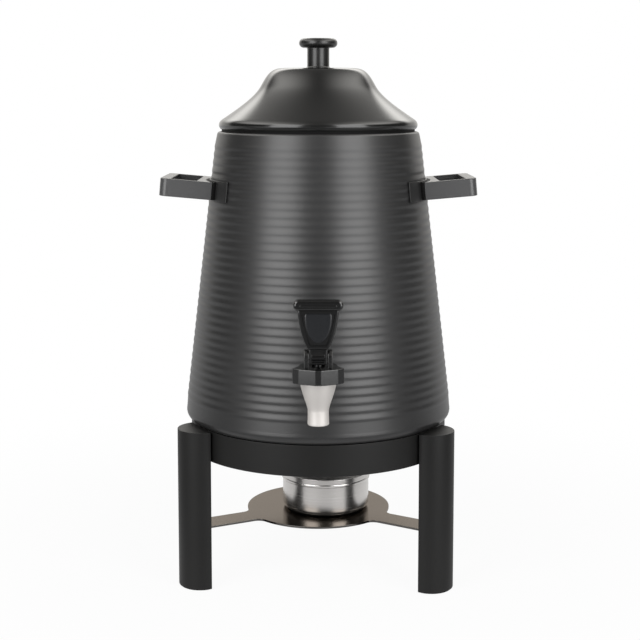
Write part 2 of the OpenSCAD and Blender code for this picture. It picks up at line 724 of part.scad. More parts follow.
module lid_shell() color("#17181a") on_axis() difference() {
    rotate_extrude() {
        outer = concat([[0, lid_top_z]], lid_bell, [for (i = [1 : len(lid_roll) - 1]) lid_roll[i]]);
        inner = moved(lid_bell, lid_t);
        polygon(concat(
            outer, [[hem_r, lid_z], [hem_r, lid_z + lid_t], [lid_edge_r - lid_t, lid_z + lid_t]],
            reversed(inner), [[0, lid_top_z - lid_t]]
        ));
    }
    translate([0, 0, lid_top_z - 2 * lid_t]) cylinder(r = knob_screw_r + hole_gap, h = 4 * lid_t);
}

module lid_skirt() color("#b5b6b6") on_axis() rotate_extrude() polygon([
    [hem_r - lid_t, lid_z + lid_t], [hem_r - lid_t, rim_z - skirt_drop],
    [hem_r, rim_z - skirt_drop], [hem_r, lid_z + lid_t]
]);

module lid_seal() color("#0d0d0d") on_axis() rotate_extrude() polygon([
    [mouth_r + seal_set, rim_z], [lid_edge_r - seal_set, rim_z],
    [lid_edge_r - seal_set, lid_z], [mouth_r + seal_set, lid_z]
]);

knob_screw_r = 2.5;
knob_screw_bite = 14;
knob_screw_head_r = 5;
knob_screw_head_h = 3;
knob_washer_r = 9;
knob_washer_t = 1.6;
knob_foot_flare = 1;

module lid_knob() color("#161719") on_axis() translate([0, 0, lid_top_z]) difference() {
    rotate_extrude() {
        top = knob_stem_h + knob_cap_h;
        polygon(concat(
            [[0, 0], [knob_stem_r + knob_foot_flare, 0], [knob_stem_r + knob_foot_flare, knob_foot_flare],
             [knob_stem_r, 2 * knob_foot_flare], [knob_stem_r, knob_stem_h]],
            arc([knob_cap_r - knob_edge_r, knob_stem_h + knob_edge_r], knob_edge_r, -90, 0),
            arc([knob_cap_r - knob_edge_r, top - knob_edge_r], knob_edge_r, 0, 90),
            [[0, top]]
        ));
    }
    translate([0, 0, -past]) cylinder(r = knob_screw_r + seat_gap, h = knob_screw_bite + past);
}

module under_lid_top() on_axis() translate([0, 0, lid_top_z - lid_t - knob_washer_t]) children();

module knob_washer() color("#c0c1c0") under_lid_top() difference() {
    cylinder(r = knob_washer_r, h = knob_washer_t);
    translate([0, 0, -past]) cylinder(r = knob_screw_r + hole_gap, h = knob_washer_t + 2 * past);
}

module knob_screw() color("#b0b1b2") under_lid_top() {
    cylinder(r = knob_screw_r, h = lid_t + knob_washer_t + knob_screw_bite - seat_gap);
    translate([0, 0, -knob_screw_head_h]) cylinder(r = knob_screw_head_r, h = knob_screw_head_h);
}

support_ring();
ring_flange();
leg_left();
leg_right();
leg_back();
foot_pads();
leg_screws();
burner_shelf();
fuel_cup();
burner_cover();
cover_band();
vessel_wall();
vessel_base();
heat_disc();
handle_left();
handle_right();
wall_pads();
handle_spacers();
handle_screws();
tap_body();
tap_bonnet();
tap_gasket();
inner_gasket();
tap_nut();
lever_pin();
tap_lever();
lever_inset();
valve_stem();
seat_cup();
valve_spring();
lid_shell();
lid_skirt();
lid_seal();
lid_knob();
knob_washer();
knob_screw();
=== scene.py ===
# %% [markdown]
# # A hot-drink urn on its stand
# The imported model is the fixed frame: it gives each solid's place, and every piece made below rides on one of its
# bodies. All places are in metres, in that frame.

# %% Load the frame
import math

import bmesh
import bpy
from mathutils import Matrix, Vector
from mathutils.geometry import interpolate_bezier


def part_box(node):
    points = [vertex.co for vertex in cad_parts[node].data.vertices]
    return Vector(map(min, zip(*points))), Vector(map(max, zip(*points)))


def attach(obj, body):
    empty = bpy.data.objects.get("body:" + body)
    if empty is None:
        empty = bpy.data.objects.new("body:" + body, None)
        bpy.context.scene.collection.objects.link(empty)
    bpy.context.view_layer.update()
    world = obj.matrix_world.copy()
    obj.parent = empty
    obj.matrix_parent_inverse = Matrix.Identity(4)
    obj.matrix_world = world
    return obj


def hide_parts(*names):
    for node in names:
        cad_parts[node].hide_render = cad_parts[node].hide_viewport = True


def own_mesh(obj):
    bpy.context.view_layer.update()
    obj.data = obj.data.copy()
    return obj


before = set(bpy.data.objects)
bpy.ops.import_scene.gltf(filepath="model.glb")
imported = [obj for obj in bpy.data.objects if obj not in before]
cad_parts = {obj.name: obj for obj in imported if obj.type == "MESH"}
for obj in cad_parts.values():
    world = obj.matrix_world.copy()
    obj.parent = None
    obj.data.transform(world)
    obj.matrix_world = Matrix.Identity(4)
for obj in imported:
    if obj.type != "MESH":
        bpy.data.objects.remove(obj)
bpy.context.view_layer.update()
scene = bpy.context.scene
scene.view_settings.view_transform = "Standard"

# %% [markdown]
# ## Where the urn stands
# The urn's axis is the middle of the knob. The heights below are the solids' own, read from their boxes, so each
# piece lands on the solid that it stands for.

# %% Key places
MM = 0.001
knob_low, knob_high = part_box("lid_knob")
wall_low, wall_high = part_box("vessel_wall")
base_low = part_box("vessel_base")[0]
ring_low, ring_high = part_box("support_ring")
flange_low, flange_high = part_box("ring_flange")
axis = Vector(((knob_low.x + knob_high.x) / 2, (knob_low.y + knob_high.y) / 2, 0))
print("axis at", tuple(round(v, 4) for v in axis), "rim at", round(wall_high.z, 4), "knob at", round(knob_low.z, 4))

# %% [markdown]
# ## Camera
# The photograph was taken level with the lid, from a little over a metre away, with the frame shifted down. Here
# the camera looks down by six degrees instead and keeps only part of the shift, so that the other views stay framed.

# %% Camera at the photograph's viewing angle
camera_away, camera_height, camera_dip = 1.2871, 0.462, 5.942
camera_data = bpy.data.cameras.new("camera")
camera_data.lens = 74.575
camera_data.sensor_width = 36.0
camera_data.shift_x = 0.0027
camera_data.shift_y = -0.13125
camera_data.clip_end = 50.0
camera = bpy.data.objects.new("camera", camera_data)
camera.location = (0.0, axis.y - camera_away, camera_height)
camera.rotation_euler = (math.radians(90.0 - camera_dip), 0.0, 0.0)
scene.collection.objects.link(camera)
scene.camera = camera
print("camera at", tuple(round(v, 3) for v in camera.location))

# %% [markdown]
# ## Studio
# The photograph's studio is a white sweep with two large soft boxes in front, left and right. The boxes are tall and
# reach down near the floor, so that the ribs show as soft bands. To the camera the floor and the world are white, and
# the floor keeps a soft shadow. In reflections they aren't: the sky is dark in front and bright behind and overhead,
# and the floor is dim in front of the urn. That is why black paint shows bright edges and a dark middle. Many small
# nodes say all this, so a few helpers make and join them.


# %% Helpers for shader nodes
def feed(tree, socket, source):
    if isinstance(source, bpy.types.NodeSocket):
        tree.links.new(source, socket)
    else:
        socket.default_value = source


def reckon(tree, operation, *sources):
    node = tree.nodes.new("ShaderNodeMath")
    node.operation = operation
    for socket, source in zip(node.inputs, sources):
        feed(tree, socket, source)
    return node.outputs[0]


def ease(tree, value, start, stop, low=0.0, high=1.0):
    node = tree.nodes.new("ShaderNodeMapRange")
    node.interpolation_type = "SMOOTHSTEP"
    for label, source in (("Value", value), ("From Min", start), ("From Max", stop), ("To Min", low), ("To Max", high)):
        feed(tree, node.inputs[label], source)
    return node.outputs["Result"]


def surface(tree, kind, colour, strength=None):
    node = tree.nodes.new(kind)
    node.inputs["Color"].default_value = (*colour, 1.0)
    if strength is not None:
        feed(tree, node.inputs["Strength"], strength)
    return node.outputs[0]


def mix_shaders(tree, factor, first, second):
    node = tree.nodes.new("ShaderNodeMixShader")
    for socket, source in zip(node.inputs, (factor, first, second)):
        tree.links.new(source, socket)
    return node.outputs[0]


WHITE = (1.0, 1.0, 1.0)
print("node helpers ready, white is", WHITE)

# %% Floor
floor_radius = 9.0
floor_mesh = bpy.data.meshes.new("studio_floor")
floor_bm = bmesh.new()
bmesh.ops.create_circle(floor_bm, cap_ends=True, segments=96, radius=floor_radius)
floor_bm.to_mesh(floor_mesh)
floor_bm.free()
studio_floor = bpy.data.objects.new("studio_floor", floor_mesh)
scene.collection.objects.link(studio_floor)
print("floor radius", floor_radius, "m")

# %% Floor's paint: how much of its white glow each spot keeps in reflections
floor_paint = bpy.data.materials.new("studio_floor_paint")
floor_paint.use_nodes = True
tree = floor_paint.node_tree
tree.nodes.clear()
path = tree.nodes.new("ShaderNodeLightPath").outputs
spot = tree.nodes.new("ShaderNodeTexCoord").outputs["Object"]
length = tree.nodes.new("ShaderNodeVectorMath")
length.operation = "LENGTH"
tree.links.new(spot, length.inputs[0])
from_middle = length.outputs["Value"]
split = tree.nodes.new("ShaderNodeSeparateXYZ")
tree.links.new(spot, split.inputs[0])
across, along = split.outputs["X"], split.outputs["Y"]
strip_middle = -0.20
off_strip = reckon(tree, "ABSOLUTE", reckon(tree, "ADD", across, -strip_middle))
strip = tree.nodes.new("ShaderNodeMix")
feed(tree, strip.inputs["A"], 1.0)
feed(tree, strip.inputs["B"], ease(tree, off_strip, 0.32, 0.72, 1.0, 0.15))
feed(tree, strip.inputs["Factor"], ease(tree, along, -0.20, -0.55))
dimmed = reckon(tree, "MULTIPLY", ease(tree, along, -0.30, 0.35, 0.74, 0.30), ease(tree, from_middle, 0.26, 0.46, 0.30))
dimmed = reckon(tree, "MULTIPLY", strip.outputs["Result"], dimmed)
glow = reckon(tree, "SUBTRACT", 1.0, reckon(tree, "MULTIPLY", dimmed, path["Is Glossy Ray"]))
print("floor's glow from", len(tree.nodes), "nodes")

# %% Floor's paint: glow for the camera and reflections, matt for all other light
seen = reckon(tree, "MAXIMUM", path["Is Camera Ray"], path["Is Glossy Ray"])
share = reckon(tree, "MULTIPLY", seen, ease(tree, from_middle, 0.15, 0.75, 0.94, 1.0))
floor_look = mix_shaders(tree, share, surface(tree, "ShaderNodeBsdfDiffuse", (0.86, 0.86, 0.86)),
                         surface(tree, "ShaderNodeEmission", WHITE, glow))
tree.links.new(floor_look, tree.nodes.new("ShaderNodeOutputMaterial").inputs["Surface"])
floor_mesh.materials.append(floor_paint)
print("paint on", floor_mesh.name)

# %% World: the sky that reflections see
world = bpy.data.worlds.new("studio")
scene.world = world
world.use_nodes = True
tree = world.node_tree
tree.nodes.clear()
look = tree.nodes.new("ShaderNodeSeparateXYZ")
tree.links.new(tree.nodes.new("ShaderNodeTexCoord").outputs["Generated"], look.inputs[0])
aside, ahead, up = (look.outputs[label] for label in "XYZ")
front_glow, overhead_glow = 0.07, 0.26
behind = reckon(tree, "MULTIPLY_ADD", reckon(tree, "MAXIMUM", up, 0.0), -0.4, ahead)
sweep = reckon(tree, "MULTIPLY_ADD", ease(tree, behind, 0.42, 0.60), ease(tree, up, 0.24, 0.50, 0.95, 3.5), front_glow)
sides = reckon(tree, "MULTIPLY", reckon(tree, "MULTIPLY", aside, aside), reckon(tree, "MULTIPLY_ADD", ahead, -0.8, 1.0))
overhead = reckon(tree, "MULTIPLY_ADD", sides, 6.4, overhead_glow)
canopy = reckon(tree, "MULTIPLY_ADD", ease(tree, up, 0.40, 0.66), overhead, sweep)
print("sky from", len(tree.nodes), "nodes")

# %% World: sky for reflections, even fill for other light, white for the camera
path = tree.nodes.new("ShaderNodeLightPath").outputs
fill_sky = surface(tree, "ShaderNodeBackground", (0.35, 0.35, 0.35))
mirror_sky = surface(tree, "ShaderNodeBackground", (1.0, 0.98, 0.94), canopy)
unseen = mix_shaders(tree, path["Is Glossy Ray"], fill_sky, mirror_sky)
sky = mix_shaders(tree, path["Is Camera Ray"], unseen, surface(tree, "ShaderNodeBackground", WHITE))
tree.links.new(sky, tree.nodes.new("ShaderNodeOutputWorld").inputs["Surface"])
print("world", world.name, "made")

# %% Soft boxes
box_width, box_height, box_power = 1.02, 1.58, 23.0
box_target = Vector((0.0, 0.0, 0.77))
for name, place in (("soft_box_left", (-0.99, -1.26, 0.83)), ("soft_box_right", (0.99, -1.26, 0.83))):
    data = bpy.data.lights.new(name, "AREA")
    data.shape = "RECTANGLE"
    data.size = box_width
    data.size_y = box_height
    data.energy = box_power
    lamp = bpy.data.objects.new(name, data)
    lamp.location = place
    lamp.rotation_euler = (box_target - Vector(place)).to_track_quat("-Z", "Y").to_euler()
    scene.collection.objects.link(lamp)
    print(name, "of", box_power, "W")

# %% [markdown]
# ## Effects that several finishes share
# Powder coat has a fine peel and a slow drift in gloss. Turned steel has fine lines round its axis. Brushed plate has
# fine lines along its length. They could be painted as pictures, but noise keeps its detail at any distance and needs
# no file. Each effect is a shader node group, built once and placed in each material with its own values.

# %% What every effect takes in and gives out
FLOAT, COLOUR, VECTOR = "NodeSocketFloat", "NodeSocketColor", "NodeSocketVector"
finish_inputs = [("Vector", VECTOR, None), ("Dark", COLOUR, (0.01, 0.01, 0.01, 1)),
                 ("Light", COLOUR, (0.02, 0.02, 0.02, 1)), ("Rough Low", FLOAT, 0.3), ("Rough High", FLOAT, 0.4),
                 ("Scale", FLOAT, 1000.0)]
finish_outputs = [("Color", COLOUR), ("Roughness", FLOAT), ("Height", FLOAT)]
print("effect inputs:", [label for label, kind, value in finish_inputs])


# %% Helpers for node groups
def effect_group(name):
    group = bpy.data.node_groups.new(name, "ShaderNodeTree")
    for label, kind, value in finish_inputs:
        socket = group.interface.new_socket(label, in_out="INPUT", socket_type=kind)
        if value is not None:
            socket.default_value = value
    for label, kind in finish_outputs:
        group.interface.new_socket(label, in_out="OUTPUT", socket_type=kind)
    return group, group.nodes.new("NodeGroupInput").outputs, group.nodes.new("NodeGroupOutput").inputs


def noise(group, scale, detail, vector, rough=0.5):
    node = group.nodes.new("ShaderNodeTexNoise")
    for label, source in (("Vector", vector), ("Scale", scale), ("Detail", detail), ("Roughness", rough)):
        feed(group, node.inputs[label], source)
    return node.outputs["Fac"]


def blend_colour(group, factor, low, high):
    colour_low, colour_high, colour_out = 6, 7, 2
    node = group.nodes.new("ShaderNodeMix")
    node.data_type = "RGBA"
    for index, source in ((0, factor), (colour_low, low), (colour_high, high)):
        group.links.new(source, node.inputs[index])
    return node.outputs[colour_out]


def stretch(group, value, low, high):
    node = group.nodes.new("ShaderNodeMapRange")
    ends = (("From Min", noise_low), ("From Max", noise_high), ("To Min", low), ("To Max", high))
    for label, source in (("Value", value), *ends):
        feed(group, node.inputs[label], source)
    return node.outputs["Result"]


def give_out(group, given, end, tone, gloss, height):
    group.links.new(blend_colour(group, tone, given["Dark"], given["Light"]), end["Color"])
    group.links.new(stretch(group, gloss, given["Rough Low"], given["Rough High"]), end["Roughness"])
    group.links.new(height, end["Height"])
    print("group", group.name)


noise_low, noise_high = 0.3, 0.7
print("gloss follows the noise from", noise_low, "to", noise_high)

# %% Powder coat: fine peel, slow drift of gloss and tone
powder_peel, given, end = effect_group("powder_peel")
drift = noise(powder_peel, 9.0, 2.0, given["Vector"])
peel = noise(powder_peel, given["Scale"], 2.0, given["Vector"], 0.6)
give_out(powder_peel, given, end, drift, drift, peel)

# %% Turned steel: lines round the Z axis of the given vector
turned_lines, given, end = effect_group("turned_lines")
parts = turned_lines.nodes.new("ShaderNodeSeparateXYZ")
turned_lines.links.new(given["Vector"], parts.inputs[0])
flat = turned_lines.nodes.new("ShaderNodeCombineXYZ")
turned_lines.links.new(parts.outputs["X"], flat.inputs["X"])
turned_lines.links.new(parts.outputs["Y"], flat.inputs["Y"])
radius = turned_lines.nodes.new("ShaderNodeVectorMath")
radius.operation = "LENGTH"
turned_lines.links.new(flat.outputs[0], radius.inputs[0])
track = turned_lines.nodes.new("ShaderNodeCombineXYZ")
turned_lines.links.new(radius.outputs["Value"], track.inputs["X"])
turned_lines.links.new(parts.outputs["Z"], track.inputs["Y"])
lines = noise(turned_lines, given["Scale"], 4.0, track.outputs[0], 0.7)
give_out(turned_lines, given, end, lines, lines, lines)

# %% Brushed plate: lines along X
brushed_lines, given, end = effect_group("brushed_lines")
squeeze = brushed_lines.nodes.new("ShaderNodeVectorMath")
squeeze.operation = "MULTIPLY"
squeeze.inputs[1].default_value = (0.012, 1.0, 1.0)
brushed_lines.links.new(given["Vector"], squeeze.inputs[0])
strokes = noise(brushed_lines, given["Scale"], 3.0, squeeze.outputs[0], 0.65)
cloud = noise(brushed_lines, 22.0, 2.0, given["Vector"])
give_out(brushed_lines, given, end, cloud, strokes, strokes)

# %% [markdown]
# ## Finishes
# Each finish is one Principled shader. Numbers that are the same all over sit on its own sockets. The group feeds
# colour, roughness and a bump. A Mapping node moves the pattern's origin to the piece's own axis. Every finish could
# have a tree of its own, but paints, metals and plastics differ only in numbers here, so one helper makes them all.


# %% Helper for a finish
def finish(name, group, dark, light, rough, scale, bump, metallic=0.0, specular=0.5, origin=(0.0, 0.0, 0.0)):
    material = bpy.data.materials.new(name)
    material.use_nodes = True
    tree = material.node_tree
    shader = tree.nodes["Principled BSDF"]
    shader.inputs["Metallic"].default_value = metallic
    shader.inputs["Specular IOR Level"].default_value = specular
    place = tree.nodes.new("ShaderNodeTexCoord")
    centre = tree.nodes.new("ShaderNodeMapping")
    centre.vector_type = "TEXTURE"
    centre.inputs["Location"].default_value = origin
    effect = tree.nodes.new("ShaderNodeGroup")
    effect.node_tree = group
    effect.inputs["Dark"].default_value = (*dark, 1.0)
    effect.inputs["Light"].default_value = (*light, 1.0)
    effect.inputs["Rough Low"].default_value = rough[0]
    effect.inputs["Rough High"].default_value = rough[1]
    effect.inputs["Scale"].default_value = scale
    relief = tree.nodes.new("ShaderNodeBump")
    relief.inputs["Strength"].default_value = bump
    relief.inputs["Distance"].default_value = relief_depth
    tree.links.new(place.outputs["Object"], centre.inputs["Vector"])
    tree.links.new(centre.outputs["Vector"], effect.inputs["Vector"])
    tree.links.new(effect.outputs["Color"], shader.inputs["Base Color"])
    tree.links.new(effect.outputs["Roughness"], shader.inputs["Roughness"])
    tree.links.new(effect.outputs["Height"], relief.inputs["Height"])
    tree.links.new(relief.outputs["Normal"], shader.inputs["Normal"])
    return material


relief_depth = 0.0002
print("bumps are", relief_depth / MM, "mm deep at full strength")

# %% Paints
vessel_paint = finish("vessel_satin_paint", powder_peel, (0.0095, 0.0095, 0.0098), (0.0135, 0.0135, 0.0138),
                      (0.34, 0.39), 1400.0, 0.10, specular=0.6)
stand_paint = finish("stand_matt_paint", powder_peel, (0.0028, 0.0027, 0.0026), (0.0042, 0.0041, 0.0039),
                     (0.46, 0.54), 1100.0, 0.16, specular=0.3)
lid_paint = finish("lid_gloss_paint", powder_peel, (0.0055, 0.0055, 0.0053), (0.0075, 0.0075, 0.0073),
                   (0.17, 0.20), 900.0, 0.03, specular=0.55)
pad_paint = finish("pad_smooth_paint", powder_peel, (0.0058, 0.0058, 0.0059), (0.0082, 0.0082, 0.0083), (0.40, 0.46),
                   1100.0, 0.08, specular=0.42)
knob_paint = finish("knob_satin_paint", powder_peel, (0.0055, 0.0055, 0.0053), (0.0075, 0.0075, 0.0073), (0.29, 0.33),
                    900.0, 0.03, specular=0.55)
handle_paint = finish("handle_satin_paint", powder_peel, (0.042, 0.042, 0.043), (0.052, 0.052, 0.053),
                      (0.26, 0.32), 1300.0, 0.08)
print("paints made")

# %% Metals
cup_middle = sum(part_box("fuel_cup"), Vector()) / 2
spout_middle = sum(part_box("valve_stem"), Vector()) / 2
cup_steel = finish("cup_turned_steel", turned_lines, (0.57, 0.553, 0.537), (0.69, 0.67, 0.653), (0.23, 0.28), 2600.0,
                   0.008, metallic=1.0, origin=(cup_middle.x, cup_middle.y, 0.0))
spout_steel = finish("spout_satin_steel", turned_lines, (0.615, 0.593, 0.573), (0.70, 0.677, 0.655), (0.61, 0.67),
                     2600.0, 0.05, metallic=1.0, origin=(spout_middle.x, spout_middle.y, 0.0))
shelf_steel = finish("shelf_dark_steel", brushed_lines, (0.104, 0.098, 0.092), (0.126, 0.119, 0.112), (0.13, 0.18),
                     2400.0, 0.02, metallic=1.0)
shelf_steel.node_tree.nodes["Principled BSDF"].inputs["Specular Tint"].default_value = (0.68, 0.64, 0.605, 1.0)
disc_metal = finish("heat_disc_metal", turned_lines, (0.50, 0.50, 0.50), (0.64, 0.64, 0.64), (0.30, 0.45), 1800.0,
                    0.10, metallic=1.0, origin=(axis.x, axis.y, 0.0))
small_steel = finish("small_parts_steel", turned_lines, (0.42, 0.42, 0.41), (0.56, 0.56, 0.55), (0.22, 0.34), 2200.0,
                     0.05, metallic=1.0, origin=(axis.x, axis.y, 0.0))
print("metals made")

# %% Plastics and rubbers
tap_plastic = finish("tap_black_plastic", powder_peel, (0.0030, 0.0030, 0.0031), (0.0044, 0.0044, 0.0046),
                     (0.12, 0.16), 700.0, 0.02, specular=0.6)
bonnet_plastic = finish("bonnet_black_plastic", powder_peel, (0.0030, 0.0030, 0.0031), (0.0044, 0.0044, 0.0046),
                        (0.20, 0.26), 700.0, 0.03, specular=0.72)
inset_plastic = finish("inset_grey_plastic", powder_peel, (0.0060, 0.0066, 0.0080), (0.0080, 0.0087, 0.0102),
                       (0.22, 0.28), 2600.0, 0.05)
black_rubber = finish("black_rubber", powder_peel, (0.0016, 0.0016, 0.0016), (0.0028, 0.0028, 0.0028), (0.60, 0.72),
                      1600.0, 0.20, specular=0.12)
pale_silicone = finish("pale_silicone", powder_peel, (0.58, 0.55, 0.49), (0.68, 0.65, 0.58), (0.42, 0.52), 1200.0,
                       0.06)
print("plastics made")

# %% [markdown]
# ## Turned pieces
# The vessel, its pan, the lid, the knob, the ring and the burner are all round. A cylinder could be pulled into shape
# ring by ring, but a drawn section shows the real measures at once. So each piece is drawn as half a section, in
# millimetres from its own axis and from the floor. Its corners are rounded with a vertex bevel while it is still a
# line, and one full spin makes the shell. A section that closes on itself gives a wall with two faces.


# %% Helpers that draw a section
def curve(a, b, c, d, count):
    points = interpolate_bezier(Vector((*a, 0)), Vector((*b, 0)), Vector((*c, 0)), Vector((*d, 0)), count)
    return [(p.x, p.y) for p in points]


def arc(centre, radius, start, stop, count):
    angles = [math.radians(start + (stop - start) * i / count) for i in range(count + 1)]
    return [(centre[0] + radius * math.cos(a), centre[1] + radius * math.sin(a)) for a in angles]


def oblong(inner, outer, low, high):
    return [(inner, low), (outer, low), (outer, high), (inner, high)]


def section(bm, points, closed, place):
    verts = [bm.verts.new((place.x + x * MM, place.y, z * MM)) for x, z in points]
    pairs = list(zip(verts, verts[1:])) + ([(verts[-1], verts[0])] if closed else [])
    for pair in pairs:
        bm.edges.new(pair)
    return verts


print("a quarter round has", len(arc((0.0, 0.0), 1.0, 0, 90, 8)), "points")


# %% Helpers that shape and place a shell
def round_corners(bm, verts, size, segments=3):
    bmesh.ops.bevel(bm, geom=verts, offset=size * MM, offset_type="OFFSET", segments=segments, profile=0.5,
                    affect="VERTICES", material=-1)


def spin_round(bm, place, steps):
    bmesh.ops.spin(bm, geom=bm.verts[:] + bm.edges[:], cent=place, axis=(0, 0, 1), angle=math.tau, steps=steps,
                   use_merge=True, use_duplicate=False)


def soften(bm, size, segments, degrees):
    sharp = [e for e in bm.edges if len(e.link_faces) == 2 and e.calc_face_angle(0.0) > math.radians(degrees)]
    bmesh.ops.bevel(bm, geom=sharp, offset=size * MM, offset_type="OFFSET", segments=segments, profile=0.5,
                    affect="EDGES", clamp_overlap=True, material=-1)


def settle(bm, name, body, material, nodes=()):
    bmesh.ops.remove_doubles(bm, verts=bm.verts[:], dist=1e-6)
    bmesh.ops.recalc_face_normals(bm, faces=bm.faces[:])
    mesh = bpy.data.meshes.new(name)
    bm.to_mesh(mesh)
    open_edges = sum(1 for e in bm.edges if len(e.link_faces) != 2)
    bm.free()
    mesh.shade_smooth()
    mesh.set_sharp_from_angle(angle=crease)
    mesh.materials.append(material)
    piece = bpy.data.objects.new(name, mesh)
    scene.collection.objects.link(piece)
    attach(piece, body)
    if nodes:
        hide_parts(*nodes)
    even = piece.modifiers.new("even_shading", "WEIGHTED_NORMAL")
    even.keep_sharp = True
    print(name, "faces", len(mesh.polygons), "open edges", open_edges)
    return piece


def turned(name, points, place, body, material, nodes, closed=True, steps=128, corners=()):
    bm = bmesh.new()
    verts = section(bm, points, closed, place)
    for index, size in corners:
        round_corners(bm, [verts[index]], size)
    spin_round(bm, place, steps)
    return settle(bm, name, body, material, nodes)


crease = math.radians(32.0)
print("edges over", round(math.degrees(crease)), "degrees stay sharp")

# %% [markdown]
# ## Vessel
# The tapered wall has 33 rolled ribs between a plain band under the rim and one over the bottom. Each is a shallow
# wave about seven and a half millimetres tall. Points on a cosine draw the section, and one spin turns it round the
# axis. Real waves are used and not a bump, because they also show along the outline.

# %% Wall's measures, in millimetres
vessel_bottom = base_low.z / MM
rim = wall_high.z / MM
seam = wall_low.z / MM
wide = seam - 3.0
rim_r, wide_r, wall_t = 97.7, 129.1, 1.5
rib_count, rib_depth, rib_low, rib_high = 33, 0.8, seam + 9.0, rim - 10.0


def wall_r(z):
    return rim_r + (rim - z) * (wide_r - rim_r) / (rim - wide)


print("wall from", round(seam, 2), "to", round(rim, 2), "radius", round(wall_r(seam), 2), "to", rim_r)
print("a rib is", round((rib_high - rib_low) / rib_count, 2), "mm tall")

# %% Ribbed wall
rib_steps, rib_floor = 8, 0.38
mouth_r, shoulder_r, taper = 88.5, 3.0, 6.6
ribs = []
for i in range(rib_count * rib_steps + 1):
    z = rib_low + (rib_high - rib_low) * i / (rib_count * rib_steps)
    wave = 0.5 - 0.5 * math.cos(2 * math.pi * i / rib_steps)
    ribs.append((wall_r(z) + rib_floor + (rib_depth - rib_floor) * wave, z))
shoulder_at = (rim_r - shoulder_r, rim - shoulder_r)
outside = [(wall_r(seam), seam)] + ribs + arc(shoulder_at, shoulder_r, taper, 90, 6) + [(mouth_r, rim)]
inside = [(mouth_r, rim - wall_t)] + arc(shoulder_at, shoulder_r - wall_t, taper, 90, 4)[::-1]
inside += [(wall_r(rim - 40) - wall_t, rim - 40), (wall_r(seam) - wall_t, seam)]
turned("ribbed_wall", outside + inside, axis, "urn", vessel_paint, ["vessel_wall"], steps=160,
       corners=[(len(outside) - 1, 0.5), (len(outside), 0.5)])

# %% Pan that closes the bottom
pan_edge = 8.0
edge_at = (wide_r - pan_edge, wide)
pan_out = [(0.0, vessel_bottom)] + arc(edge_at, pan_edge, -90, 4, 10) + [(wall_r(seam), seam)]
pan_in = [(wall_r(seam) - wall_t, seam)] + arc(edge_at, pan_edge - wall_t, 4, -90, 8)
turned("bottom_pan", pan_out + pan_in + [(0.0, vessel_bottom + wall_t)], axis, "urn", vessel_paint,
       ["vessel_base"], closed=False, steps=160)

# %% Heat-spreading disc under the pan
disc_low, disc_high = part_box("heat_disc")
disc = oblong(0.0, (disc_high.x - disc_low.x) / 2 / MM, disc_low.z / MM, disc_high.z / MM)
turned("heat_spreader", disc, axis, "urn", disc_metal, ["heat_disc"], closed=False, steps=128,
       corners=[(1, 0.8), (2, 0.4)])

# %% [markdown]
# ## Lid and knob
# The lid is a bell: a flat top, a round shoulder, a side that flares out and a rolled rim that stands over a dark
# gap. The rim starts at a crease, where the flare ends. The knob is a stem with a small foot and a round-edged cap. A
# smooth cage could give such shapes too, but curves that share their end points keep the outline where it was
# measured.

# %% Bell of the lid
lid_low, lid_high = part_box("lid_shell")
lid_z, top = lid_low.z / MM, lid_high.z / MM
lid_rim_r, lid_flat_r, lid_t, hem_r, slope_t = 96.3, 36.0, 1.2, 87.7, 0.85
side, flare = (lid_flat_r + 20.0, top - 18.0), (lid_rim_r - 3.3, lid_z + 9.0)
bell = curve((lid_flat_r, top), (lid_flat_r + 11.0, top), (lid_flat_r + 15.0, top - 9.36), side, 16)
bell += curve(side, (side[0] + 5.0, side[1] - 8.6), (side[0] + 18.0, side[1] - 18.4), flare, 18)[1:]
roll = curve(flare, (flare[0] + 2.7, flare[1] - 2.0), (lid_rim_r + 1.0, lid_z + 3.5), (lid_rim_r - 2.0, lid_z), 12)
outer = [(0.0, top), (18.0, top)] + bell + roll[1:]
bell_in = [(x - slope_t, z - slope_t) for x, z in reversed(bell[4:])]
inner = [(hem_r, lid_z), (hem_r, lid_z + lid_t), (lid_rim_r - 3.2, lid_z + lid_t)] + bell_in
inner += [(lid_flat_r, top - lid_t), (0.0, top - lid_t)]
turned("lid_bell", outer + inner, axis, "lid", lid_paint, ["lid_shell"], closed=False, steps=144)

# %% Knob
cap_top, knob_foot = knob_high.z / MM, knob_low.z / MM
stem_r, cap_r, cap_edge, stem_top = 10.6, 18.4, 4.3, knob_foot + 19.7
knob = [(0.0, knob_foot), (stem_r + 1.0, knob_foot), (stem_r + 1.0, knob_foot + 0.7)]
knob += curve((stem_r + 0.9, knob_foot + 0.9), (stem_r + 0.2, knob_foot + 1.3), (stem_r, knob_foot + 1.8),
              (stem_r, knob_foot + 3.0), 5)
knob += [(stem_r, stem_top - 1.0), (stem_r + 0.3, stem_top - 0.3), (stem_r + 1.0, stem_top)]
knob += arc((cap_r - cap_edge, stem_top + cap_edge), cap_edge, -90, 0, 8)
knob += arc((cap_r - cap_edge, cap_top - cap_edge), cap_edge, 0, 90, 8) + [(0.0, cap_top)]
turned("lid_grip_knob", knob, axis, "lid", knob_paint, ["lid_knob"], closed=False, steps=96)

# %% [markdown]
# ## Stand
# The ring is a flat band with a flange welded on its upper edge. Three half-round legs stand against it with their
# flat faces inwards. A leg could be cut with a boolean, but a plane leaves cleaner edges. It starts as a full circle:
# planes cut it down to half and trim its two sharp edges, and the face that is left is extruded up. Its edges are
# only broken, as they are on cut bar.

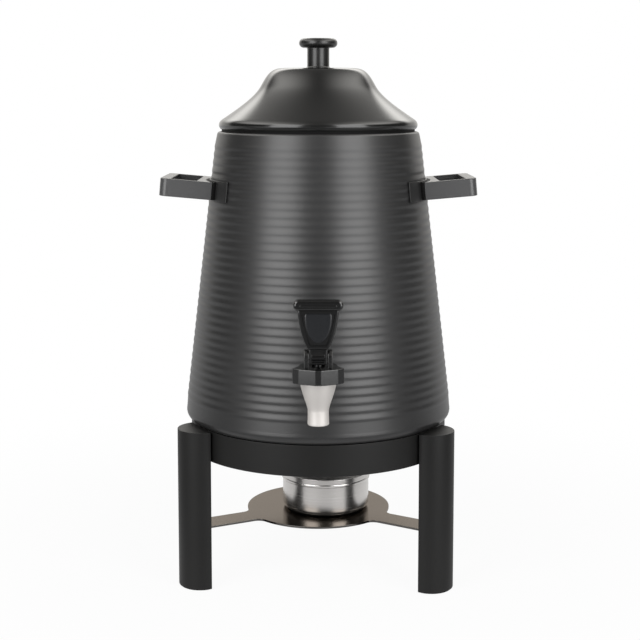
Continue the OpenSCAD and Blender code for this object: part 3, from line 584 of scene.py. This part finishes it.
# %% Ring band and flange
ring_r, ring_t, ring_in = 124.6, 3.0, 108.6
band = oblong(ring_r - ring_t, ring_r, ring_low.z / MM, ring_high.z / MM)
turned("ring_band", band, axis, "stand", stand_paint, ["support_ring"], steps=144,
       corners=[(0, 0.5), (1, 0.5)])
ledge = oblong(ring_in, ring_r, flange_low.z / MM, flange_high.z / MM)
turned("ring_ledge", ledge, axis, "stand", stand_paint, ["ring_flange"], steps=144,
       corners=[(0, 0.5), (2, 0.5), (3, 0.5)])

# %% Legs
stand_turn = math.radians(-2.4)
leg_r, leg_w = 22.7, 45.0
leg_places = (("left", 120), ("right", -120), ("back", 0))


def raise_face(bm, vec):
    raised = bmesh.ops.extrude_face_region(bm, geom=bm.faces[:])["geom"]
    bmesh.ops.translate(bm, verts=[v for v in raised if isinstance(v, bmesh.types.BMVert)], vec=vec)
    bmesh.ops.recalc_face_normals(bm, faces=bm.faces[:])


def half_round(name, angle, low, high, radius, width, inset, edge, material, nodes):
    bm = bmesh.new()
    bmesh.ops.create_circle(bm, cap_ends=True, segments=96, radius=radius * MM)
    for normal, reach in (((0, -1, 0), 0.0), ((1, 0, 0), width / 2), ((-1, 0, 0), width / 2)):
        bmesh.ops.bisect_plane(bm, geom=bm.verts[:] + bm.edges[:] + bm.faces[:], dist=1e-7,
                               plane_co=Vector(normal) * reach * MM, plane_no=normal, clear_outer=True)
    raise_face(bm, (0, 0, (high - low) * MM))
    soften(bm, edge, 2, 40.0)
    turn = Matrix.Rotation(math.radians(angle) + stand_turn, 4, "Z")
    place = Matrix.Translation(axis) @ turn @ Matrix.Translation((0, (ring_r + inset) * MM, low * MM))
    bmesh.ops.transform(bm, matrix=place, verts=bm.verts[:])
    return settle(bm, name, "stand", material, nodes)


for side_name, angle in leg_places:
    node = "leg_" + side_name
    low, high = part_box(node)
    half_round("post_" + side_name, angle, low.z / MM, high.z / MM, leg_r, leg_w, 0.0, 0.5, stand_paint,
               [node])

# %% Foot pads
pad_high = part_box("foot_pads")[1].z / MM
pad_margin = 3.0
for side_name, angle in leg_places:
    half_round("foot_pad_" + side_name, angle, 0.0, pad_high, leg_r - pad_margin, leg_w - pad_margin, pad_margin / 2,
               0.3, black_rubber, ["foot_pads"] if side_name == "left" else [])

# %% [markdown]
# ## Burner shelf
# One dark mirror-polished plate: a disc with three arms, each leaving the disc in a small round fillet and ending in
# a slot in its leg. A disc and three bars could be joined with booleans, but then the fillets would have to be found
# and bevelled. Here the outline is drawn from the middle of one arm to halfway to the next and mirrored, which gives
# a third of the whole. The third is turned twice about the axis, and the outline is filled and extruded.

# %% Shelf plate
shelf_low, shelf_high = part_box("burner_shelf")
plate_r, arm_half, fillet, arm_end = 70.1, 13.0, 9.0, 132.5
fillet_y = math.sqrt((plate_r + fillet) ** 2 - (arm_half + fillet) ** 2)
touch = math.degrees(math.atan2(fillet_y, arm_half + fillet))
half = [(0.0, arm_end), (-arm_half, arm_end)] + arc((-arm_half - fillet, fillet_y), fillet, 0, -touch, 8)
half += arc((0.0, 0.0), plate_r, 180 - touch, 150, 14)[1:]
bm = bmesh.new()
verts = [bm.verts.new((x * MM, y * MM, 0.0)) for x, y in half]
for pair in zip(verts, verts[1:]):
    bm.edges.new(pair)
sixth = math.radians(60)
bmesh.ops.rotate(bm, verts=bm.verts[:], cent=(0, 0, 0), matrix=Matrix.Rotation(-sixth, 3, "Z"))
bmesh.ops.mirror(bm, geom=bm.verts[:] + bm.edges[:], matrix=Matrix.Identity(4), merge_dist=1e-6, axis="X")
bmesh.ops.spin(bm, geom=bm.verts[:] + bm.edges[:], cent=(0, 0, 0), axis=(0, 0, 1), angle=4 * sixth, steps=2,
               use_duplicate=True)
bmesh.ops.remove_doubles(bm, verts=bm.verts[:], dist=1e-5)
bmesh.ops.edgeloop_fill(bm, edges=bm.edges[:])
print("shelf outline", len(bm.verts), "points,", round(sum(f.calc_area() for f in bm.faces) * 1e4), "square cm")
raise_face(bm, (0, 0, shelf_high.z - shelf_low.z))
soften(bm, 0.25, 2, 50.0)
shelf_place = Matrix.Translation((axis.x, axis.y, shelf_low.z)) @ Matrix.Rotation(stand_turn + sixth, 4, "Z")
bmesh.ops.transform(bm, matrix=shelf_place, verts=bm.verts[:])
settle(bm, "shelf_plate", "stand", shelf_steel, ["burner_shelf"])

# %% [markdown]
# ## Fuel burner
# A turned steel cup with a round lower edge, and its cover: a flat ring with the flame opening, on a band with one
# rolled bead. The bead could be a torus laid on the band, but as a short curve in the section it stays one shell with
# it. The cup stands loose, a little right of the axis.

# %% Cup
cup_low, cup_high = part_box("fuel_cup")
cup_place = Vector((cup_middle.x, cup_middle.y, 0.0))
cup_z, cup_top = cup_low.z / MM, cup_high.z / MM
cup_r, cup_t, cup_edge, cup_lip = 42.4, 1.0, 6.0, 0.3
cup_in = cup_r - cup_t
cup_round = (cup_r - cup_edge, cup_z + cup_edge)
cup = [(0.0, cup_z), (30.0, cup_z)] + arc(cup_round, cup_edge, -90, 0, 10)
cup += [(cup_r, cup_top - cup_lip), (cup_r - cup_lip, cup_top)]
cup += [(cup_in + cup_lip, cup_top), (cup_in, cup_top - cup_lip)]
cup += arc(cup_round, cup_edge - cup_t, 0, -90, 8) + [(0.0, cup_z + cup_t)]
turned("fuel_pot", cup, cup_place, "burner", cup_steel, ["fuel_cup"], closed=False, steps=112)

# %% Cover and band
cover_low, cover_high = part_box("burner_cover")
cover_r, flame_r, band_in = 43.0, 26.0, cup_r + 0.1
cover_z, band_low = cover_low.z / MM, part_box("cover_band")[0].z / MM
turned("flame_ring", oblong(flame_r, cover_r, cover_z, cover_high.z / MM), cup_place, "cover",
       cup_steel, ["burner_cover"], steps=112, corners=[(0, 0.3), (2, 0.4), (3, 0.3)])
bead = curve((cover_r, band_low + 0.2), (cover_r + 0.5, band_low + 0.3), (cover_r + 0.5, band_low + 3.0),
             (cover_r, band_low + 3.2), 8)
turned("beaded_band", [(band_in, band_low)] + bead + [(cover_r, cover_z), (band_in, cover_z)], cup_place, "cover",
       cup_steel, ["cover_band"], steps=112)

# %% [markdown]
# ## Handles
# A handle is a flat loop: a solid root at the wall, two thin arms and a thicker grip bar with rounded corners. It
# tilts up by five degrees. A bar swept along a path would have one thickness all round, so the frame starts as four
# faces between an outer and an inner rectangle. They are extruded up, the outer corners get a wide bevel, and the
# root's edges are subdivided and laid on the wall's curve.

# %% Handle loops
handle_z = rim - 55.0
handle_reach, handle_w, bar_h, arm_t, grip_t, root_x, root_l = 45.8, 86.0, 16.8, 4.5, 9.5, 3.0, 11.5
handle_tilt = math.radians(-5.0)
root_r = wall_r(handle_z) + rib_depth + 4.15


def at_handle(sign):
    mirror = Matrix.Scale(-1, 4, (1, 0, 0)) if sign < 0 else Matrix.Identity(4)
    foot = Matrix.Translation((wall_r(handle_z) * MM, 0, handle_z * MM))
    return Matrix.Translation(axis) @ mirror @ foot @ Matrix.Rotation(handle_tilt, 4, "Y")


def handle_loop(name, sign, node):
    bm = bmesh.new()
    inner_x, inner_y = handle_reach - grip_t, handle_w / 2 - arm_t
    rings = oblong(root_x, handle_reach, -handle_w / 2, handle_w / 2), oblong(root_l, inner_x, -inner_y, inner_y)
    outer, inner = [[bm.verts.new((x * MM, y * MM, -bar_h / 2 * MM)) for x, y in ring] for ring in rings]
    for i in range(4):
        bm.faces.new((outer[i], outer[(i + 1) % 4], inner[(i + 1) % 4], inner[i]))
    raise_face(bm, (0, 0, bar_h * MM))

    def at_x(vert, x):
        return abs(vert.co.x - x * MM) < 1e-5

    for x, size, segments in ((handle_reach, 7.0, 10), (inner_x, 2.0, 4), (root_l, 2.0, 4)):
        uprights = [e for e in bm.edges if abs(e.verts[0].co.z - e.verts[1].co.z) > bar_h * MM / 2
                    and all(at_x(v, x) for v in e.verts)]
        bmesh.ops.bevel(bm, geom=uprights, offset=size * MM, offset_type="OFFSET", segments=segments, profile=0.5,
                        affect="EDGES", material=-1)
    root = [e for e in bm.edges if all(at_x(v, root_x) for v in e.verts)
            and abs(e.verts[0].co.y - e.verts[1].co.y) > 0.01]
    bmesh.ops.subdivide_edges(bm, edges=root, cuts=21, use_grid_fill=True)
    for v in bm.verts:
        if at_x(v, root_x):
            v.co.x = math.sqrt((root_r * MM) ** 2 - v.co.y ** 2) - wall_r(handle_z) * MM
    soften(bm, 0.7, 3, 40.0)
    bmesh.ops.transform(bm, matrix=at_handle(sign), verts=bm.verts[:])
    return settle(bm, name, "urn", handle_paint, [node])


handle_loop("grip_loop_left", -1, "handle_left")
handle_loop("grip_loop_right", 1, "handle_right")

# %% [markdown]
# Between a handle and the ribs lie a smooth curved pad and a black insulating strip. A box could be bent to fit, but
# a small section that is spun through part of a turn follows the sloping wall by itself. Both ends are then closed.


# %% Pads and strips on the wall
def join(bm, shell):
    part = bpy.data.meshes.new("shell")
    shell.to_mesh(part)
    shell.free()
    bm.from_mesh(part)
    bpy.data.meshes.remove(part)


def wall_strips(name, inner_d, outer_d, height, half_angle, edge, material, node):
    bm = bmesh.new()
    rows = oblong(inner_d, outer_d, handle_z - height / 2, handle_z + height / 2)
    for middle in (180, 0):
        strip = bmesh.new()
        section(strip, [(wall_r(z) + rib_depth + d, z) for d, z in rows], True, axis)
        bmesh.ops.rotate(strip, verts=strip.verts[:], cent=axis,
                         matrix=Matrix.Rotation(math.radians(middle - half_angle), 3, "Z"))
        bmesh.ops.spin(strip, geom=strip.verts[:] + strip.edges[:], cent=axis, axis=(0, 0, 1),
                       angle=math.radians(2 * half_angle), steps=40, use_duplicate=False)
        bmesh.ops.holes_fill(strip, edges=[e for e in strip.edges if e.is_boundary], sides=4)
        bmesh.ops.recalc_face_normals(strip, faces=strip.faces[:])
        soften(strip, edge, 2, 40.0)
        join(bm, strip)
    return settle(bm, name, "urn", material, [node])


wall_strips("smooth_pads", 0.05, 1.65, 19.0, 37.0, 0.5, pad_paint, "wall_pads")
wall_strips("heat_strips", 1.70, 4.10, bar_h, 24.8, 0.3, black_rubber, "handle_spacers")

# %% [markdown]
# ## Tap
# The spout is turned from steel: a funnel under the bonnet runs into a straight throat, which flares a little and
# ends in a rounded lip. The shank runs back through the wall, with a flange against the gasket. They could be blended
# into one casting, but little of the joint shows, so two turned shells that run into each other are enough.

# %% Spout and shank
tap = Vector((spout_middle.x, spout_middle.y, 0.0))
body_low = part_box("tap_body")[0]
bonnet_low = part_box("tap_bonnet")[0]
pin_low, pin_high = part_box("lever_pin")
spout_end, bonnet_z, shank_z = body_low.z / MM, bonnet_low.z / MM, vessel_bottom + 58.5
bore_r, neck_in, neck_r, throat_r, funnel_r = 6.5, 10.5, 13.1, 9.1, 15.4
seat_z, neck_top, funnel_top = shank_z - 4.5, bonnet_z + 7.5, bonnet_z - 0.05
throat_z = spout_end + 15.2
spout = [(bore_r, spout_end + 0.6), (7.1, spout_end)] + arc((8.1, spout_end + 1.3), 1.3, -90, -8, 5)
spout += curve((9.36, spout_end + 1.6), (9.2, spout_end + 5.0), (throat_r, throat_z - 9.0),
               (throat_r, throat_z - 3.0), 6)
spout += curve((throat_r, throat_z - 3.0), (throat_r, throat_z + 2.0), (funnel_r, throat_z + 14.0),
               (funnel_r + 0.3, funnel_top), 18)[1:]
spout += [(neck_r, funnel_top), (neck_r, neck_top), (neck_in, neck_top), (neck_in, seat_z), (bore_r, seat_z)]
pipe_in, pipe_r, flange_r, flange_t = 4.0, 8.0, 15.0, 3.0
flange_d = wall_r(shank_z) + rib_depth + 3.6
shank_in = wall_r(shank_z) - wall_t - 4.5 - 12.0
shank_out = (axis.y - tap.y) / MM - 10.6
shank = [(pipe_in, shank_in), (pipe_r, shank_in), (pipe_r, flange_d), (flange_r, flange_d),
         (flange_r, flange_d + flange_t), (pipe_r, flange_d + flange_t), (pipe_r, shank_out), (pipe_in, shank_out)]
bm = bmesh.new()
section(bm, spout, True, tap)
spin_round(bm, tap, 96)
rod = bmesh.new()
verts = section(rod, shank, True, Vector())
round_corners(rod, [verts[1]], 0.8)
round_corners(rod, [verts[4]], 0.5)
spin_round(rod, Vector(), 64)
lay_down = Matrix.Rotation(math.radians(90), 4, "X")
bmesh.ops.transform(rod, matrix=Matrix.Translation((axis.x, axis.y, shank_z * MM)) @ lay_down, verts=rod.verts[:])
join(bm, rod)
settle(bm, "spout_and_shank", "urn", spout_steel, ["tap_body"])

# %% [markdown]
# Inside the barrel a coil spring holds the seat cup down. The wire's round section is spun four turns while it climbs,
# which winds a helix in one operator. When the lever lifts the valve the real spring gets shorter, but here it keeps
# its rest length.

# %% Return spring
wire, turns, wire_sides = 0.5, 4, 10
coil_low, coil_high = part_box("valve_spring")
coil_r = (coil_high.x - coil_low.x) / 2 / MM - wire
climb = (coil_high.z - coil_low.z) - 2 * wire * MM
bm = bmesh.new()
wire_start = Matrix.Translation((tap.x + coil_r * MM, tap.y, coil_low.z + wire * MM)) @ lay_down
bmesh.ops.create_circle(bm, cap_ends=False, segments=wire_sides, radius=wire * MM, matrix=wire_start)
steps = 32 * turns
bmesh.ops.spin(bm, geom=bm.verts[:] + bm.edges[:], cent=tap, axis=(0, 0, 1), dvec=(0, 0, climb / steps),
               angle=math.tau * turns, steps=steps, use_merge=False, use_normal_flip=False, use_duplicate=False)
bmesh.ops.holes_fill(bm, edges=[e for e in bm.edges if e.is_boundary], sides=wire_sides)
spring = settle(bm, "return_spring", "urn", small_steel, ["valve_spring"])
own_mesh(spring)

# %% [markdown]
# The bonnet is a black collar round the top of the spout. It could start from a six-sided cone, but drawn from above,
# its narrow nose, two slanting front faces, trimmed corners and round back each get their own width. The outline is
# extruded, and a fine bevel catches the light on every edge. Two ears for the lever's pin are outlines with a round
# top. A low gland ring stands where the stem comes out.


# %% Bonnet and gland
def mirrored(points):
    return [(-x, y) for x, y in reversed(points)]


bonnet_top = bonnet_z + 13.1
half_w, nose, nose_y, trim, back_r = 22.2, 2.5, -24.0, 5.4, 16.6
face_y = nose_y + (half_w - trim - nose) * math.tan(math.radians(22.5))
wing = [(nose, nose_y), (half_w - trim, face_y), (half_w, face_y + trim), (back_r, face_y + trim + 10.4)]
start_angle = math.degrees(math.asin((wing[-1][1] + 1.2) / back_r))
outline = wing + arc((0.0, 0.0), back_r, start_angle, 180.0 - start_angle, 28) + mirrored(wing)
collar = bmesh.new()
collar.faces.new([collar.verts.new((x * MM, y * MM, 0.0)) for x, y in outline])
raise_face(collar, (0, 0, (bonnet_top - bonnet_z) * MM))
soften(collar, 0.6, 3, 20.0)
bmesh.ops.translate(collar, verts=collar.verts[:], vec=(tap.x, tap.y, bonnet_z * MM))
gland = bmesh.new()
verts = section(gland, oblong(3.2, 6.6, bonnet_top - 0.2, bonnet_top + 1.6), True, tap)
round_corners(gland, [verts[2]], 0.5)
spin_round(gland, tap, 48)
join(collar, gland)
print("collar", 2 * half_w, "mm wide,", len(outline), "points")

# %% Ears
pin = (pin_low + pin_high) / 2
ear_foot, ear_gap, ear_t, ear_r = bonnet_top - pin.z / MM - 1.0, 16.0, 4.2, 6.5
for sign in (-1, 1):
    ear = bmesh.new()
    points = [(ear_r, ear_foot)] + arc((0.0, 0.0), ear_r, 0, 180, 20) + [(-ear_r, ear_foot)]
    ear.faces.new([ear.verts.new((0.0, y * MM, z * MM)) for y, z in points])
    raise_face(ear, (ear_t * MM, 0, 0))
    soften(ear, 0.7, 3, 40.0)
    ear_x = sign * (ear_gap + ear_t) / 2 - ear_t / 2
    bmesh.ops.translate(ear, verts=ear.verts[:], vec=pin + Vector((ear_x * MM, 0, 0)))
    join(collar, ear)
settle(collar, "collar_and_ears", "urn", bonnet_plastic, ["tap_bonnet"])

# %% [markdown]
# The lever is a paddle under a round-ended bar with a low ridge. It could be sculpted as one mesh, but as separate
# slabs each part keeps the softness of its own edges. Each outline is extruded and softened. The front faces of the
# paddle, and of the foot between the ears, are then inset twice: once for a flat rim and once more, pushed in, for a
# recess. Two round pads reach back under the stem's cross head.


# %% Helpers for the lever
def slab(points, thick, front):
    bm = bmesh.new()
    bm.faces.new([bm.verts.new((x * MM, front * MM, z * MM)) for x, z in points])
    raise_face(bm, (0, thick * MM, 0))
    return bm


def inset_front(bm, width, push):
    upright = [f for f in bm.faces if abs(f.normal.y) > 0.9]
    front = min(upright, key=lambda f: f.calc_center_median().y - f.calc_area())
    bmesh.ops.inset_region(bm, faces=[front], thickness=width * MM, depth=push * MM, use_even_offset=True)


paddle_low, paddle_high, lever_top, bar_t = 7.6, 41.7, 50.0, 9.3
print("lever from", paddle_low, "to", lever_top, "mm over its pin")

# %% Paddle, bar, ridge and foot
right = curve((9.1, paddle_low), (13.1, 16.1), (16.0, 24.1), (18.0, paddle_high), 12)
paddle = slab(right + mirrored(right), 8.0, -8.5)
soften(paddle, 1.8, 5, 40.0)
inset_front(paddle, 1.3, 0.0)
inset_front(paddle, 0.7, -0.9)

half_bar, bar_low, corner = 42.5 / 2, lever_top - bar_t, 4.4
ends = arc((half_bar - corner, bar_low + corner), corner, -84, 0, 8)
ends += arc((half_bar - corner, lever_top - corner), corner, 0, 90, 8)
bar = slab(ends + mirrored(ends), 10.2, -9.2)
soften(bar, 2.6, 6, 40.0)
tab = arc((14.7, lever_top - 5.2), 1.2, -90, 90, 8)
ridge = slab(tab + mirrored(tab), 1.6, -10.0)
soften(ridge, 0.5, 3, 40.0)

foot_w, foot_low, foot_high = 15.4, -6.0, 8.8
foot = slab(oblong(-foot_w / 2, foot_w / 2, foot_low, foot_high), 6.3, -6.4)
soften(foot, 1.1, 5, 40.0)
inset_front(foot, 0.9, 0.0)
inset_front(foot, 0.6, -2.2)
print("bar", 2 * half_bar, "mm wide, foot", foot_w, "mm wide")

# %% Hub, arms and round pads, and the whole lever
hub_r, pad_r, pad_w, pad_x, pad_y = 5.0, 2.0, 4.2, 5.55, 9.0
rods = bmesh.new()
across = Matrix.Rotation(math.radians(90), 4, "Y")
bmesh.ops.create_cone(rods, cap_ends=True, segments=32, radius1=hub_r * MM, radius2=hub_r * MM, depth=foot_w * MM,
                      matrix=across)
for sign in (-1, 1):
    place = Matrix.Translation((sign * pad_x * MM, pad_y * MM, 0)) @ across
    bmesh.ops.create_cone(rods, cap_ends=True, segments=24, radius1=pad_r * MM, radius2=pad_r * MM, depth=pad_w * MM,
                          matrix=place)
    arm_size = Matrix.Diagonal((pad_w * MM, 4.8 * MM, 3.0 * MM, 1))
    arm = Matrix.Translation((sign * pad_x * MM, 6.4 * MM, -0.5 * MM)) @ arm_size
    bmesh.ops.create_cube(rods, size=1.0, matrix=arm)
soften(rods, 0.3, 2, 40.0)
bm = bmesh.new()
for shell in (paddle, bar, ridge, foot, rods):
    join(bm, shell)
bmesh.ops.translate(bm, verts=bm.verts[:], vec=pin)
settle(bm, "lever_paddle", "lever", tap_plastic, ["tap_lever"])

# %% [markdown]
# A panel of another plastic lies in the paddle's recess. Its top is straight with round corners and its foot is a
# round tongue. A second material on the paddle could stand for it, but a piece of its own catches the light on its
# rim. One inset pushes its front out, which leaves that rim sloping.

# %% Inset panel
panel_low, panel_high, panel_w, panel_corner = paddle_low + 6.0, bar_low - 2.0, 11.2, 2.4
tongue_h = panel_high - panel_low - 4.0
quarter = [math.radians(angle) for angle in range(0, 91, 6)]
tongue = [(panel_w * math.sin(a), panel_low + tongue_h * (1 - math.cos(a))) for a in quarter]
tongue += arc((panel_w - panel_corner, panel_high - panel_corner), panel_corner, 0, 90, 5)
panel = slab(tongue + mirrored(tongue[1:]), 0.7, -7.8)
inset_front(panel, 1.4, 0.5)
bmesh.ops.translate(panel, verts=panel.verts[:], vec=pin)
settle(panel, "lever_panel", "lever", inset_plastic, ["lever_inset"])

# %% [markdown]
# ## Solids that keep their own shape
# The rest of the solids are right as they are: the screws, the seals, the washer, the tap's nut, the lever's pin, the
# lid's skirt, and the stem with its seat cup. They could be turned again as new pieces, but they are small or hidden,
# so they keep their meshes and get finishes.

# %% Finishes on the solids that stay
stays = {
    small_steel: ["leg_screws", "handle_screws", "tap_nut", "lever_pin", "valve_stem", "lid_skirt", "knob_washer",
                  "knob_screw"],
    black_rubber: ["tap_gasket", "lid_seal"],
    pale_silicone: ["inner_gasket", "seat_cup"],
}
for material, nodes in stays.items():
    for node in nodes:
        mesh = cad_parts[node].data
        mesh.materials.clear()
        mesh.materials.append(material)
print("finishes on", sum(len(nodes) for nodes in stays.values()), "solids")

# %% End
print("end of the script")
